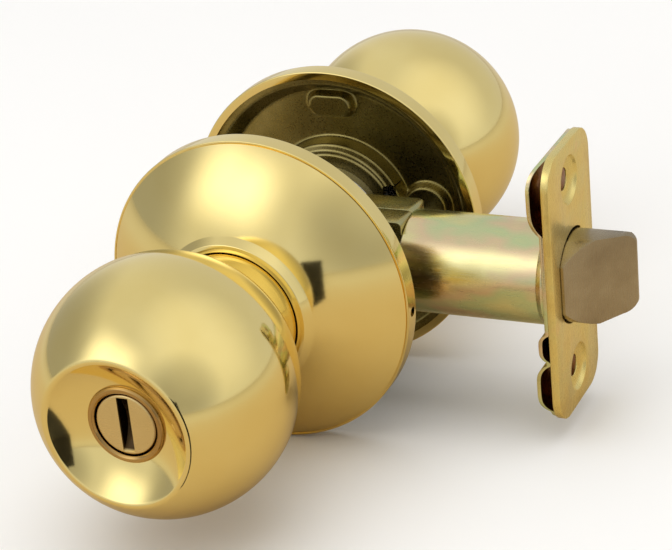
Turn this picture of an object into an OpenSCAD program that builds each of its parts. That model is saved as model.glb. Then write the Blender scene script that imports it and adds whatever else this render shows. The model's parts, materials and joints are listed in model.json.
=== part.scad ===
// Ball privacy knob set with a tubular spring latch.
// Y is the spindle axis with the slotted front knob at -Y, X is the latch axis with the bolt at +X.
// The origin is where the two axes cross, in the middle of the door's thickness.

/* [Door] */
// Thickness of the door between the rosettes
door_t = 35; // [34:0.5:36]
// Distance from the spindle axis to the outer face of the faceplate
backset = 60.3; // [60:0.1:61]

/* [Knobs] */
// Radius of each ball
ball_r = 25.4; // [25:0.1:26]
// Distance from the door face to the centre of each ball
ball_reach = 44.5; // [44:0.5:46]
// Radius of the rim of the dished recess
dish_r = 14.8; // [14.4:0.1:15.2]
// Radius of the bowl that the recess is cut with
bowl_r = 21.5; // [20.5:0.5:23]
// Radius of the hole for the bezel at the bottom of the recess
bezel_r = 7.9; // [7.9:0.1:8.2]
// Radius of the neck between ball and rosette
neck_r = 14; // [13.8:0.1:14]
// Width of the slot in the front button
slot_w = 2.4; // [1.8:0.1:3]
// Height of the paddle on the rear thumb turn
paddle_h = 5; // [3:0.5:6]

/* [Rosettes] */
// Outer radius of each rosette
rosette_r = 33; // [32.5:0.1:34]
// Width of the straight rim band
rim_w = 4; // [3.8:0.1:4.2]
// Radius of the sphere that the dome is part of
dome_r = 43.3; // [43:0.1:43.6]
// Thickness of the rosette's sheet
rosette_t = 0.9; // [0.8:0.05:1]
// Distance of each mounting screw from the spindle axis
screw_x = 20.5; // [20.3:0.1:20.8]

/* [Latch] */
// Outer radius of the latch barrel
barrel_r = 10.6; // [10.5:0.05:10.8]
// How far the bolt stands out of the faceplate
throw = 11.8; // [11:0.1:11.8]
// Radius of the bolt's round sides
bolt_r = 9.5; // [9.3:0.05:9.5]
// Turn of the knob that pulls the bolt right in, in degrees
knob_turn = 80; // [78:1:80]
// Half the height of the latch case
case_h = 11; // [11:0.1:11.4]

/* [Faceplate] */
// Width of the faceplate
plate_w = 25.4; // [24.8:0.1:25.4]
// Height of the faceplate
plate_h = 57.15; // [57:0.05:58]
// Distance between the two wood screw holes
hole_pitch = 41.28; // [41:0.02:41.6]
// Thickness of the faceplate
plate_t = 1.6; // [1.6:0.1:1.8]

/* [Hidden] */
$fn = 96;
// Door face and the main heights along the spindle, measured out from the middle of the door
door_z = door_t / 2;
ball_z = door_z + ball_reach;
rim_z = ball_z + sqrt(ball_r * ball_r - dish_r * dish_r);
bowl_z = rim_z + sqrt(bowl_r * bowl_r - dish_r * dish_r);
button_z = bowl_z - sqrt(bowl_r * bowl_r - bezel_r * bezel_r);
ball_t = 1;
core_z = ball_z - 16.5;
neck_t = 0.9;
neck_end_z = door_z + 13.7;
// Rosette
rim_top_z = door_z + rim_w;
crease_r = rosette_r - 1.7;
dome_z = rim_top_z - sqrt(dome_r * dome_r - crease_r * crease_r);
collar_z = door_z + 15.9;
collar_base_r = 16.6;
collar_top_r = 15.3;
collar_hole_r = neck_r + 0.4;
hem_t = 1.1;
// Mounting plate
plate_floor_z = door_z + 4.8;
sheet_t = 1;
boss_r = 16.2;
bore_r = 11.8;
// Bearing and shank
hub_end_z = door_z - 2.9;
hub_top_z = door_z + 10;
hub_in_r = 9.56;
shank_r = 9.5;
shank_end_z = door_z - 5.9;
ring_z = door_z - 4.15;
ring_t = 1.1;
spindle_w = 6.6;
spindle_half = door_z + 8.5;
rod_w = 3;
rod_half = ball_z;
dog_z = hub_top_z + 0.2;
dog_t = 1.4;
driver_z = hub_top_z + 1.8;
// Latch
case_t = 0.8;
case_y = 6.4;
case_rear_x = -14;
case_front_x = 26.2;
cam_hub_r = 6;
cam_arm_r = 9.2;
cam_tip_r = 0.8;
post_r = 2.8;
screw_r = 2.08;
barrel_in_r = barrel_r - 0.7;
back_t = 0.8;
plate_x = backset - plate_t;
back_x = plate_x - back_t;
bolt_front_y = -8;
bolt_back_y = 5;
bolt_tip_x = backset + throw;
bolt_rear_x = backset - 9;
tail_x = 44;
leg_in_z = 3.3;
leg_out_z = 4.7;
spring_wire = 0.4;
// Flat colours of the metals
brass = [0.86, 0.74, 0.38];
satin = [0.80, 0.70, 0.42];
chromate = [0.72, 0.72, 0.50];
olive = [0.38, 0.35, 0.18];
zinc = [0.58, 0.52, 0.43];
steel = [0.62, 0.62, 0.60];

// Each side is drawn with its z axis along the spindle, out from the door, and its y axis up.
module front() {
  rotate([90, 0, 0]) children();
}

module rear() {
  mirror([0, 1, 0]) front() children();
}

// A cylinder along the latch axis
module x_cylinder(x0, x1, r) {
  translate([x0, 0, 0]) rotate([0, 90, 0]) cylinder(r = r, h = x1 - x0);
}

module ring(z0, z1, r_in, r_out) {
  rotate_extrude() translate([r_in, z0]) square([r_out - r_in, z1 - z0]);
}

// An obround pad on the xy plane: length along x between its end centres, end radius, heights
module pad(length, r, z0, z1) {
  for (s = [-1, 1])
    translate([s * length / 2, 0, z0]) cylinder(r = r, h = z1 - z0);
  translate([-length / 2, -r, z0]) cube([length, 2 * r, z1 - z0]);
}

// A swept wire: rings of wire_sides points round each point of a path, joined by quads
wire_sides = 6;
function unit(v) = v / norm(v);
function tangent(path, i) = unit(path[min(i + 1, len(path) - 1)] - path[max(i - 1, 0)]);
function wire_ring(path, i, r, side) =
  let (t = tangent(path, i), u = unit(cross(t, side)), w = cross(t, u))
  [for (k = [0 : wire_sides - 1])
    let (a = 360 * k / wire_sides) path[i] + r * (cos(a) * u + sin(a) * w)];

module wire(path, r, side) {
  n = len(path);
  points = [for (i = [0 : n - 1]) each wire_ring(path, i, r, side)];
  start = [[for (k = [0 : wire_sides - 1]) k]];
  finish = [[for (k = [wire_sides - 1 : -1 : 0]) (n - 1) * wire_sides + k]];
  walls = [for (i = [0 : n - 2], k = [0 : wire_sides - 1])
    let (a = i * wire_sides + k, b = i * wire_sides + (k + 1) % wire_sides)
    each [[b, a, a + wire_sides], [b, a + wire_sides, b + wire_sides]]];
  polyhedron(points, concat(start, walls, finish));
}

// ---------------------------------------------------------------- knobs

module ball_shell() {
  difference() {
    translate([0, 0, ball_z]) sphere(r = ball_r);
    translate([0, 0, bowl_z]) sphere(r = bowl_r);
    difference() {
      translate([0, 0, ball_z]) sphere(r = ball_r - ball_t);
      translate([0, 0, bowl_z]) sphere(r = bowl_r + ball_t);
    }
    translate([0, 0, ball_z - ball_r]) cylinder(r = neck_r + 0.05, h = 8);
    translate([0, 0, button_z - 3]) cylinder(r = bezel_r, h = 6);
  }
}

// The neck runs from inside the rosette's collar to the core inside the ball
module neck_tube() {
  ring(neck_end_z, core_z, neck_r - neck_t, neck_r);
}

module knob_core() {
  sleeve_in_r = 4.2;
  sleeve_out_r = 5.6;
  flange_r = 17.6;
  flange_t = 2;
  sleeve_end_z = ball_z + 8;
  rotate_extrude() polygon([
    [sleeve_in_r, core_z], [flange_r, core_z], [flange_r, core_z + flange_t],
    [sleeve_out_r, core_z + flange_t], [sleeve_out_r, sleeve_end_z], [sleeve_in_r, sleeve_end_z]
  ]);
  ring(core_z - 3.5, core_z, shank_r, neck_r - neck_t);
}

module bezel() {
  in_r = bezel_r - 1.4;
  out_r = bezel_r - 0.05;
  rotate_extrude() polygon([
    [in_r, button_z - 2.1], [out_r + 0.9, button_z - 2.1], [out_r + 0.9, button_z - 1.2],
    [out_r, button_z - 1.2], [out_r, button_z + 0.2], [out_r - 0.3, button_z + 0.5],
    [in_r + 0.4, button_z + 0.5], [in_r, button_z + 0.1]
  ]);
}

// Face disc, retaining flange and stem of a button, with a square socket for the rod
module button_blank() {
  face_r = bezel_r - 1.7;
  stem_r = 3.9;
  difference() {
    union() {
      translate([0, 0, button_z - 4]) cylinder(r = face_r, h = 4.1);
      translate([0, 0, button_z - 4]) cylinder(r = face_r + 1.2, h = 1.3);
      translate([0, 0, ball_z - 10]) cylinder(r = stem_r, h = button_z - ball_z + 8);
    }
    translate([-rod_w / 2 - 0.05, -rod_w / 2 - 0.05, ball_z - 11])
      cube([rod_w + 0.1, rod_w + 0.1, 11.4]);
  }
}

module slotted_button() {
  cutter_r = 6.7;
  cut_depth = 3;
  difference() {
    button_blank();
    translate([-slot_w / 2, 0, button_z + 0.1 - cut_depth + cutter_r])
      rotate([0, 90, 0]) cylinder(r = cutter_r, h = slot_w);
  }
}

module thumb_turn() {
  button_blank();
  paddle_w = 2.6;
  paddle_l = 9;
  translate([-paddle_w / 2, -paddle_l / 2, button_z - 1]) cube([paddle_w, paddle_l, paddle_h]);
  translate([-paddle_w / 2, 0, button_z - 1 + paddle_h]) intersection() {
    rotate([0, 90, 0]) cylinder(r = paddle_l / 2, h = paddle_w);
    translate([0, -paddle_l / 2, 0]) cube([paddle_w, paddle_l, 1.2]);
  }
}

// Tube that carries the ball: square socket for the spindle, round bore beyond it, clip groove
module shank(dog_window) {
  socket_w = spindle_w + 0.2;
  round_bore_r = 5.2;
  window_w = 3.4;
  difference() {
    translate([0, 0, shank_end_z]) cylinder(r = shank_r, h = core_z - shank_end_z);
    translate([-socket_w / 2, -socket_w / 2, shank_end_z - 1])
      cube([socket_w, socket_w, spindle_half - shank_end_z + 1.3]);
    translate([0, 0, spindle_half]) cylinder(r = round_bore_r, h = core_z - spindle_half + 1);
    ring(ring_z - 0.05, ring_z + ring_t + 0.05, shank_r - 0.9, shank_r + 1);
    if (dog_window)
      translate([0, -window_w / 2, dog_z - 0.2]) cube([shank_r + 1, window_w, dog_t + 0.4]);
  }
}

module retaining_ring() {
  difference() {
    ring(ring_z, ring_z + ring_t, shank_r - 0.85, shank_r + 1.7);
    translate([-2, -20, ring_z - 1]) cube([4, 20, ring_t + 2]);
  }
}

// Plate fixed on the shank, with a finger that reaches down between the legs of the return spring
module spring_driver() {
  finger_r = 15.1;
  finger_w = 2.4;
  finger_l = 4;
  ring(driver_z, driver_z + 1, shank_r, finger_r - 0.3);
  translate([-finger_w / 2, -finger_r, driver_z - finger_l]) cube([finger_w, 1, finger_l + 1]);
}

// ---------------------------------------------------------------- rosettes

head_seat_z = door_z + 9.1;
head_r = 3.9;
pocket_r = head_r + 0.3;

module screw_places() {
  for (s = [-1, 1])
    translate([s * screw_x, 0, 0]) children();
}

// Hollow under the dome, with a sunk cup left standing at each screw if there are screws
module dome_hollow(screwed) {
  difference() {
    intersection() {
      translate([0, 0, dome_z]) sphere(r = dome_r - rosette_t);
      translate([0, 0, door_z]) cylinder(r = crease_r - 1.1, h = 20);
    }
    if (screwed)
      screw_places() translate([0, 0, head_seat_z - 1]) cylinder(r = pocket_r + 0.9, h = 12);
  }
}

module rosette_shell(screwed) {
  difference() {
    union() {
      translate([0, 0, door_z]) cylinder(r = rosette_r, h = rim_w);
      intersection() {
        translate([0, 0, dome_z]) sphere(r = dome_r);
        translate([0, 0, door_z]) cylinder(r = crease_r, h = 20);
      }
      rotate_extrude() polygon([
        [collar_hole_r, collar_z - 3], [collar_base_r + 1.2, collar_z - 2.4],
        [collar_base_r + 0.2, collar_z - 1.6], [collar_top_r + 0.2, collar_z - 0.8],
        [collar_top_r, collar_z], [collar_hole_r, collar_z]
      ]);
    }
    ring(rim_top_z - 0.7, rim_top_z + 1, crease_r - 0.25, crease_r + 0.25);
    translate([0, 0, door_z - 1]) cylinder(r = crease_r, h = 3);
    translate([0, 0, door_z + hem_t]) cylinder(r = rosette_r - rosette_t, h = rim_w - hem_t - 1.3);
    dome_hollow(screwed);
    translate([0, 0, door_z - 1]) cylinder(r = collar_hole_r, h = 20);
    if (screwed)
      screw_places() {
        translate([0, 0, head_seat_z]) cylinder(r = pocket_r, h = 8);
        translate([0, 0, head_seat_z - 2]) cylinder(r = screw_r + 0.3, h = 4);
      }
  }
}

// Pressed dish inside a rosette: raised hub, obround pads above and below, pads at the screws
module mounting_plate() {
  floor_z = plate_floor_z;
  pad_z = floor_z - 2.3;
  pad_y = 24.3;
  pad_l = 5;
  difference() {
    union() {
      rotate_extrude() polygon([
        [rosette_r - 1, door_z + 1.2], [crease_r - 1.5, door_z + 1.2], [27.4, floor_z],
        [boss_r + 0.4, floor_z], [boss_r, door_z + 1.2], [14.6, door_z + 0.9],
        [14.4, door_z - 0.3], [bore_r, door_z - 0.5], [bore_r, door_z + 0.5],
        [13.3, door_z + 0.7], [13.5, door_z + 1.9], [15.2, door_z + 2.2],
        [15.5, floor_z + sheet_t], [27.9, floor_z + sheet_t], [crease_r - 1, door_z + 2.2],
        [rosette_r - 1, door_z + 2.2]
      ]);
      for (s = [-1, 1])
        translate([0, s * pad_y, 0]) pad(pad_l, 2.75, pad_z, floor_z + 0.5);
      screw_places() rotate([0, 0, 90]) pad(4.4, 5.1, pad_z, floor_z + 0.5);
    }
    for (s = [-1, 1])
      translate([0, s * pad_y, 0]) pad(pad_l, 1.9, pad_z + 0.9, floor_z + 2);
    screw_places() translate([0, 0, pad_z - 1]) cylinder(r = post_r + 0.05, h = 6);
  }
}

// Two stops that the locking dog slides between when it is pushed out
module front_plate_stops() {
  stop_x = 15.8;
  stop_y = 3.9;
  stop_r = 1;
  stop_z = plate_floor_z + sheet_t;
  for (s = [-1, 1])
    translate([stop_x, s * stop_y, stop_z - 0.4])
      cylinder(r = stop_r, h = dog_z + dog_t - stop_z + 0.4);
}

// Tab between the legs of the return spring, below the spindle
module spring_tab() {
  tab_y = -18.4;
  tab_w = 2.4;
  translate([-tab_w / 2, tab_y, plate_floor_z + sheet_t - 0.4]) cube([tab_w, 1.2, 3]);
}

// Bearing sleeve, flanged against the mounting plate
module hub() {
  ring(hub_end_z, hub_top_z, hub_in_r, bore_r);
  ring(door_z + 0.7, door_z + 1.8, bore_r - 0.5, 13.2);
}

// Three close turns round the hub and two legs that point down
function coil_point(r, z, a) = [r * cos(a), r * sin(a), z];
module return_spring() {
  turns = 3;
  steps = 18;
  wire_r = 0.5;
  coil_r = 13.2;
  pitch = 1.06;
  z0 = plate_floor_z + sheet_t + 0.8;
  start_a = -80;
  leg_x = 2.6;
  leg_y = -19;
  last = turns * steps - 1;
  coil = [for (i = [0 : last])
    coil_point(coil_r, z0 + pitch * i / steps, start_a + 360 * i / steps)];
  wire(concat([[leg_x, leg_y, z0]], coil, [[-leg_x, leg_y, coil[last][2]]]), wire_r, [0, 0, 1]);
}

// ---------------------------------------------------------------- fasteners and drive

module post_tubes() {
  post_end_z = -7.4;
  flange_z = plate_floor_z + sheet_t;
  screw_places() {
    difference() {
      union() {
        translate([0, 0, post_end_z]) cylinder(r = post_r, h = flange_z - post_end_z + 0.6);
        translate([0, 0, flange_z]) cylinder(r = post_r + 1, h = 0.8);
      }
      translate([0, 0, post_end_z - 0.6]) cylinder(r = screw_r + 0.02, h = 20);
    }
  }
}

module screw_pair() {
  cross_w = 0.9;
  cross_l = 4.4;
  tip_z = -3;
  screw_places() difference() {
    union() {
      translate([0, 0, head_seat_z]) cylinder(r = head_r, h = 1.2);
      translate([0, 0, head_seat_z + 1.2]) cylinder(r1 = head_r, r2 = head_r - 1, h = 0.8);
      translate([0, 0, tip_z]) cylinder(r = screw_r, h = head_seat_z - tip_z + 0.5);
    }
    for (a = [0, 90])
      rotate([0, 0, a]) translate([-cross_l / 2, -cross_w / 2, head_seat_z + 0.8])
        cube([cross_l, cross_w, 2]);
  }
}

// Square tube through the latch
module spindle_tube() {
  rod_bore_r = 2.3;
  difference() {
    translate([-spindle_w / 2, -spindle_half, -spindle_w / 2])
      cube([spindle_w, 2 * spindle_half, spindle_w]);
    rotate([90, 0, 0]) translate([0, 0, -spindle_half - 1])
      cylinder(r = rod_bore_r, h = 2 * spindle_half + 2);
  }
}

lobe_short = 2.3;
lobe_long = 4.3;

// Square rod through the spindle, with an obround lobe that stands upright at rest
module rod_and_lobe() {
  translate([-rod_w / 2, -rod_half, -rod_w / 2]) cube([rod_w, 2 * rod_half, rod_w]);
  front() rotate([0, 0, 90]) pad(2 * (lobe_long - lobe_short), lobe_short, dog_z, dog_z + dog_t);
}

module dog_bar() {
  dog_gap = 0.55;
  dog_end_x = 14.5;
  dog_w = 3;
  front() translate([lobe_short + dog_gap, -dog_w / 2, dog_z])
    cube([dog_end_x - lobe_short - dog_gap, dog_w, dog_t]);
}

// ---------------------------------------------------------------- latch

// Outline of the case in the latch's side view, set in by a wall thickness
function case_outline(t) = [
  [case_rear_x + t, -6.5 + t * 0.4], [case_rear_x + t, 6.5 - t * 0.4],
  [case_rear_x + 3.5 + t * 0.6, case_h - t], [case_front_x - t, case_h - t],
  [case_front_x - t, -case_h + t], [case_rear_x + 3.5 + t * 0.6, -case_h + t]
];

// One half of the case, on the side where y is positive
module case_half() {
  half_gap = 0.05;
  opening_z = 8.7;
  notch_w = 3.2;
  notch_y = 3.6;
  difference() {
    rotate([90, 0, 0]) mirror([0, 0, 1]) translate([0, 0, half_gap])
      linear_extrude(case_y - half_gap) polygon(case_outline(0));
    rotate([90, 0, 0]) mirror([0, 0, 1]) translate([0, 0, -1])
      linear_extrude(case_y - case_t + 1) polygon(case_outline(case_t));
    rotate([-90, 0, 0]) cylinder(r = cam_hub_r + 0.3, h = case_y + 1);
    translate([screw_x, 0, 0]) rotate([-90, 0, 0]) cylinder(r = post_r + 0.4, h = case_y + 1);
    translate([case_front_x - 2, -1, -opening_z]) cube([3, case_y, 2 * opening_z]);
    translate([6, -1, case_h - 1.5]) cube([notch_w, notch_y, 3]);
    translate([14, -1, -case_h - 1]) cube([notch_w, notch_y, 2.5]);
  }
}

// Two-armed cam: the lower arm pulls when the knob turns one way, the upper one the other way
module cam() {
  hub_half = case_y + 0.8;
  arm_half = 2;
  arm_t = 1.4;
  arm_a = knob_turn / 2;
  hole_w = spindle_w + 0.1;
  difference() {
    union() {
      rotate([90, 0, 0]) translate([0, 0, -hub_half]) cylinder(r = cam_hub_r, h = 2 * hub_half);
      for (s = [-1, 1])
        rotate([90, 0, 0]) translate([0, 0, -arm_half]) rotate([0, 0, s * (90 - arm_a)]) {
          translate([cam_arm_r, 0, 0]) cylinder(r = cam_tip_r, h = 2 * arm_half);
          translate([0, -arm_t / 2, 0]) cube([cam_arm_r, arm_t, 2 * arm_half]);
        }
    }
    translate([-hole_w / 2, -hub_half - 1, -hole_w / 2])
      cube([hole_w, 2 * hub_half + 2, hole_w]);
  }
}

// Where the cam's tip touches at rest, less a gap that covers the cam's uneven lift
lug_x = cam_arm_r * sin(knob_turn / 2) - cam_tip_r - 0.3;

// Stamped slide: lugs at the cam, rails past the post, an open frame, and hooks for the bolt tail
module retractor_slide() {
  rail_in = 2.4;
  rail_out = 3.9;
  rail_z = 6.5;
  frame_x = bolt_rear_x - throw - 1.8;
  frame_t = 1.4;
  lug_t = 2.7;
  hook_x = 46;
  hook_t = 1.6;
  for (s = [0, 1]) mirror([0, 0, s]) {
    for (m = [0, 1]) mirror([0, m, 0])
      translate([lug_x - lug_t, rail_in, rail_z])
        cube([frame_x - lug_x + lug_t + 0.5, rail_out - rail_in, 1.7]);
    translate([lug_x - lug_t, -rail_out, 7.4]) cube([lug_t, 2 * rail_out, 2.5]);
    translate([frame_x, -4.4, rail_z]) cube([frame_t, 8.8, 1.5]);
    translate([frame_x + frame_t - 0.5, -3, rail_z + 0.1])
      cube([hook_x - frame_x - frame_t + 0.6, 6, 1.6]);
    translate([hook_x, -3, leg_out_z + 0.3]) cube([hook_t, 6, 8.2 - leg_out_z - 0.3]);
  }
  for (m = [0, 1]) mirror([0, m, 0])
    translate([frame_x, 3.4, -rail_z - 1]) cube([frame_t, 1, 2 * rail_z + 2]);
}

// Stirrup behind the bolt: a base plate and two legs with lips that the hooks catch
module tail_stirrup() {
  lip_t = 1.6;
  lip_z = 6.2;
  stirrup_w = 6;
  spring_hole_r = 2.95;
  difference() {
    translate([bolt_rear_x - 1, -stirrup_w / 2, -leg_out_z])
      cube([1, stirrup_w, 2 * leg_out_z]);
    x_cylinder(bolt_rear_x - 2, bolt_rear_x + 1, spring_hole_r);
  }
  for (s = [0, 1]) mirror([0, 0, s]) {
    translate([tail_x, -stirrup_w / 2, leg_in_z])
      cube([bolt_rear_x - tail_x - 0.5, stirrup_w, leg_out_z - leg_in_z]);
    translate([tail_x, -stirrup_w / 2, leg_in_z]) cube([lip_t, stirrup_w, lip_z - leg_in_z]);
  }
}

module bolt_body() {
  bevel_x = backset + 0.6;
  tip_y = bolt_back_y - 0.8;
  difference() {
    intersection() {
      x_cylinder(bolt_rear_x, bolt_tip_x, bolt_r);
      translate([bolt_rear_x - 1, bolt_front_y, -bolt_r - 1])
        cube([bolt_tip_x - bolt_rear_x + 2, bolt_back_y - bolt_front_y, 2 * bolt_r + 2]);
    }
    translate([0, 0, -bolt_r - 1]) linear_extrude(2 * bolt_r + 2)
      polygon([[bevel_x, bolt_front_y], [bolt_tip_x, tip_y], [bolt_tip_x + 5, tip_y],
        [bolt_tip_x + 5, bolt_front_y - 5], [bevel_x, bolt_front_y - 5]]);
    for (s = [0, 1]) mirror([0, 0, s])
      translate([bolt_rear_x - 1, -3.4, leg_out_z]) cube([backset - bolt_rear_x + 0.7, 6.8, 10]);
    x_cylinder(bolt_rear_x - 1, backset + 1.7, 3.1);
  }
}

seat_t = 1.2;
seat_x = case_front_x - case_t - seat_t - 0.1;

module seat_bar() {
  translate([seat_x, -case_y + case_t, -2.9]) cube([seat_t, 2 * (case_y - case_t), 5.8]);
}

module compression_spring() {
  turns = 11;
  steps = 14;
  coil_r = 2.35;
  x0 = seat_x + seat_t + spring_wire;
  x1 = backset + 1.7 - spring_wire;
  last = turns * steps;
  path = [for (i = [0 : last])
    let (a = 360 * i / steps) [x0 + (x1 - x0) * i / last, coil_r * cos(a), coil_r * sin(a)]];
  wire(path, spring_wire, [1, 0, 0]);
}

// Tube with its rear edge turned in
module barrel() {
  lip_r = 9.5;
  rotate([0, 90, 0]) rotate_extrude() polygon([
    [lip_r, case_front_x], [barrel_r - 0.8, case_front_x], [barrel_r, case_front_x + 0.8],
    [barrel_r, back_x], [barrel_in_r, back_x], [barrel_in_r, case_front_x + 0.9],
    [lip_r, case_front_x + 0.9]
  ]);
}

module collar() {
  rotate([0, 90, 0]) rotate_extrude() polygon([
    [barrel_r, back_x - 2.2], [barrel_r + 0.5, back_x - 1.8], [barrel_r + 0.9, back_x - 0.9],
    [barrel_r + 0.6, back_x - 0.1], [barrel_r, back_x - 0.1]
  ]);
}

module rounded_plate(w, h, r) {
  for (sx = [-1, 1], sy = [-1, 1])
    translate([sx * (w / 2 - r), sy * (h / 2 - r)]) circle(r = r);
  square([w - 2 * r, h], center = true);
  square([w, h - 2 * r], center = true);
}

// Outline of the bolt's section with a gap round it, x across the plate and y up
module bolt_opening(gap) {
  intersection() {
    circle(r = bolt_r + gap);
    translate([bolt_front_y - gap, -20]) square([bolt_back_y - bolt_front_y + 2 * gap, 40]);
  }
}

// Plate drawn in the yz plane between two x values
module across_x(x0, x1) {
  translate([x0, 0, 0]) rotate([90, 0, 90]) linear_extrude(x1 - x0) children();
}

// Plate drawn in the xz plane, as wide as two half widths
module across_y(half_w) {
  rotate([90, 0, 0]) translate([0, 0, -half_w]) linear_extrude(2 * half_w) children();
}

module screw_holes(x0, x1, r) {
  for (s = [-1, 1])
    translate([0, 0, s * hole_pitch / 2]) x_cylinder(x0, x1, r);
}

// Depth of the back plate's waves at a height: centre, half length and depth of each
waves = [[20.8, 7.3, 2.3], [-20, 5.4, 2.3], [-10.9, 3, 1.5]];
function wave(z, w) =
  let (d = abs(z - w[0]) / w[1]) d < 1 ? w[2] * (1 - pow(d, 4)) : 0;
function wave_depth(z) = max([for (w = waves) wave(z, w)]);

module wavy_backplate() {
  half_h = plate_h / 2 - 0.4;
  half_w = plate_w / 2 - 0.2;
  steps = 72;
  heights = [for (i = [0 : steps]) -half_h + 2 * half_h * i / steps];
  front_side = [for (z = heights) [plate_x - wave_depth(z), z]];
  rear_side = [for (i = [steps : -1 : 0]) [back_x - wave_depth(heights[i]), heights[i]]];
  seat_r = barrel_r + 1;
  difference() {
    intersection() {
      union() {
        across_y(half_w) polygon(concat(front_side, rear_side));
        intersection() {
          across_y(half_w) polygon(concat([[plate_x, -half_h], [plate_x, half_h]], rear_side));
          x_cylinder(back_x - 5, plate_x + 1, seat_r + 0.8);
        }
      }
      across_x(back_x - 5, plate_x + 1) rounded_plate(2 * half_w, 2 * half_h, 5.8);
    }
    x_cylinder(back_x - 5, back_x, seat_r);
    across_x(back_x - 5, plate_x + 1) bolt_opening(0.5);
    screw_holes(back_x - 5, plate_x + 1, 2.6);
  }
}

module brass_faceplate() {
  sink_r = 4.6;
  hole_r = 2.3;
  difference() {
    across_x(plate_x, backset) rounded_plate(plate_w, plate_h, 6);
    across_x(plate_x - 1, backset + 1) bolt_opening(0.4);
    screw_holes(plate_x - 1, backset + 1, hole_r);
    for (s = [-1, 1])
      translate([backset - 0.9, 0, s * hole_pitch / 2]) rotate([0, 90, 0])
        cylinder(r1 = hole_r, r2 = sink_r, h = 0.91);
  }
}

// ---------------------------------------------------------------- nodes

module front_knob() { color(brass) front() ball_shell(); }
module front_neck() { color(brass) front() neck_tube(); }
module front_knob_core() { color(steel) front() knob_core(); }
module front_button() { color(brass) front() slotted_button(); }
module front_bezel() { color(brass) front() bezel(); }
module front_shank() { color(steel) front() shank(true); }
module front_rosette() {
  pry_r = 1;
  pry_z = 1.9;
  color(brass) difference() {
    front() rosette_shell(false);
    translate([rosette_r - 3, -door_z - pry_z, -pry_z])
      rotate([0, 90, 0]) cylinder(r = pry_r, h = 5);
  }
}
module front_mounting_plate() {
  color(olive) front() {
    mounting_plate();
    front_plate_stops();
    spring_tab();
  }
}
module front_hub() { color(steel) front() hub(); }
module front_return_spring() { color(steel) front() return_spring(); }
module front_spring_driver() { color(steel) front() spring_driver(); }
module front_retaining_ring() { color(steel) front() retaining_ring(); }
module rear_knob() { color(brass) rear() ball_shell(); }
module rear_neck() { color(brass) rear() neck_tube(); }
module rear_knob_core() { color(steel) rear() knob_core(); }
module rear_turn_button() { color(brass) rear() thumb_turn(); }
module rear_bezel() { color(brass) rear() bezel(); }
module rear_shank() { color(steel) rear() shank(false); }
module rear_rosette() { color(brass) rear() rosette_shell(true); }
module rear_mounting_plate() {
  color(olive) rear() {
    mounting_plate();
    spring_tab();
  }
}
module rear_hub() { color(steel) rear() hub(); }
module rear_return_spring() { color(steel) rear() return_spring(); }
module rear_spring_driver() { color(steel) rear() spring_driver(); }
module rear_retaining_ring() { color(steel) rear() retaining_ring(); }
module mounting_posts() { color(steel) front() post_tubes(); }
module mounting_screws() { color(steel) rear() screw_pair(); }
module spindle() { color(steel) spindle_tube(); }
module privacy_rod() { color(steel) rod_and_lobe(); }
module locking_dog() { color(steel) dog_bar(); }
module latch_barrel() { color(chromate) barrel(); }
module barrel_collar() { color(chromate) collar(); }
module latch_case_front() { color(chromate) mirror([0, 1, 0]) case_half(); }
module latch_case_rear() { color(chromate) case_half(); }
module latch_cam() { color(steel) cam(); }
module retractor() { color(steel) retractor_slide(); }
module latch_bolt() { color(zinc) bolt_body(); }
module bolt_tail() { color(steel) tail_stirrup(); }
module bolt_spring() { color(steel) compression_spring(); }
module spring_seat() { color(steel) seat_bar(); }
module backplate() { color(chromate) wavy_backplate(); }
module faceplate() { color(satin) brass_faceplate(); }

front_knob();
front_neck();
front_knob_core();
front_button();
front_bezel();
front_shank();
front_rosette();
front_mounting_plate();
front_hub();
front_return_spring();
front_spring_driver();
front_retaining_ring();
rear_knob();
rear_neck();
rear_knob_core();
rear_turn_button();
rear_bezel();
rear_shank();
rear_rosette();
rear_mounting_plate();
rear_hub();
rear_return_spring();
rear_spring_driver();
rear_retaining_ring();
mounting_posts();
mounting_screws();
spindle();
privacy_rod();
locking_dog();
latch_barrel();
barrel_collar();
latch_case_front();
latch_case_rear();
latch_cam();
retractor();
latch_bolt();
bolt_tail();
bolt_spring();
spring_seat();
backplate();
faceplate();
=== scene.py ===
import json
import math

import bmesh
import bpy
from mathutils import Matrix, Vector


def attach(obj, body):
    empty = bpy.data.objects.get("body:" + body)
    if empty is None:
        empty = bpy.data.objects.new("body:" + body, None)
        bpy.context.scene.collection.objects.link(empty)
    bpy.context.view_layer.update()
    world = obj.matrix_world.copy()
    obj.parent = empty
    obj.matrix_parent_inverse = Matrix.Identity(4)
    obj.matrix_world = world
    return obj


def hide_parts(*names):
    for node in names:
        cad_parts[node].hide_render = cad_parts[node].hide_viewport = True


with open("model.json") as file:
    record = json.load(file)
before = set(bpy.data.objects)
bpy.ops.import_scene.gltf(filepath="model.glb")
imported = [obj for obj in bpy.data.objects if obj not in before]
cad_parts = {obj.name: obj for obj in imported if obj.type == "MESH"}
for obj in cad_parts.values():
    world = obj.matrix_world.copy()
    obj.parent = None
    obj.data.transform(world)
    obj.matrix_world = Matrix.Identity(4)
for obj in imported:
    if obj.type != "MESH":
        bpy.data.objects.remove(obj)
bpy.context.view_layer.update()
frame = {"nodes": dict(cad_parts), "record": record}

MM = 0.001
# Stands for a radius of nothing, in millimetres, where an outline meets its axis
AXIS_R = 0.001

# ---------------------------------------------------------------- sizes, in millimetres

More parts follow.
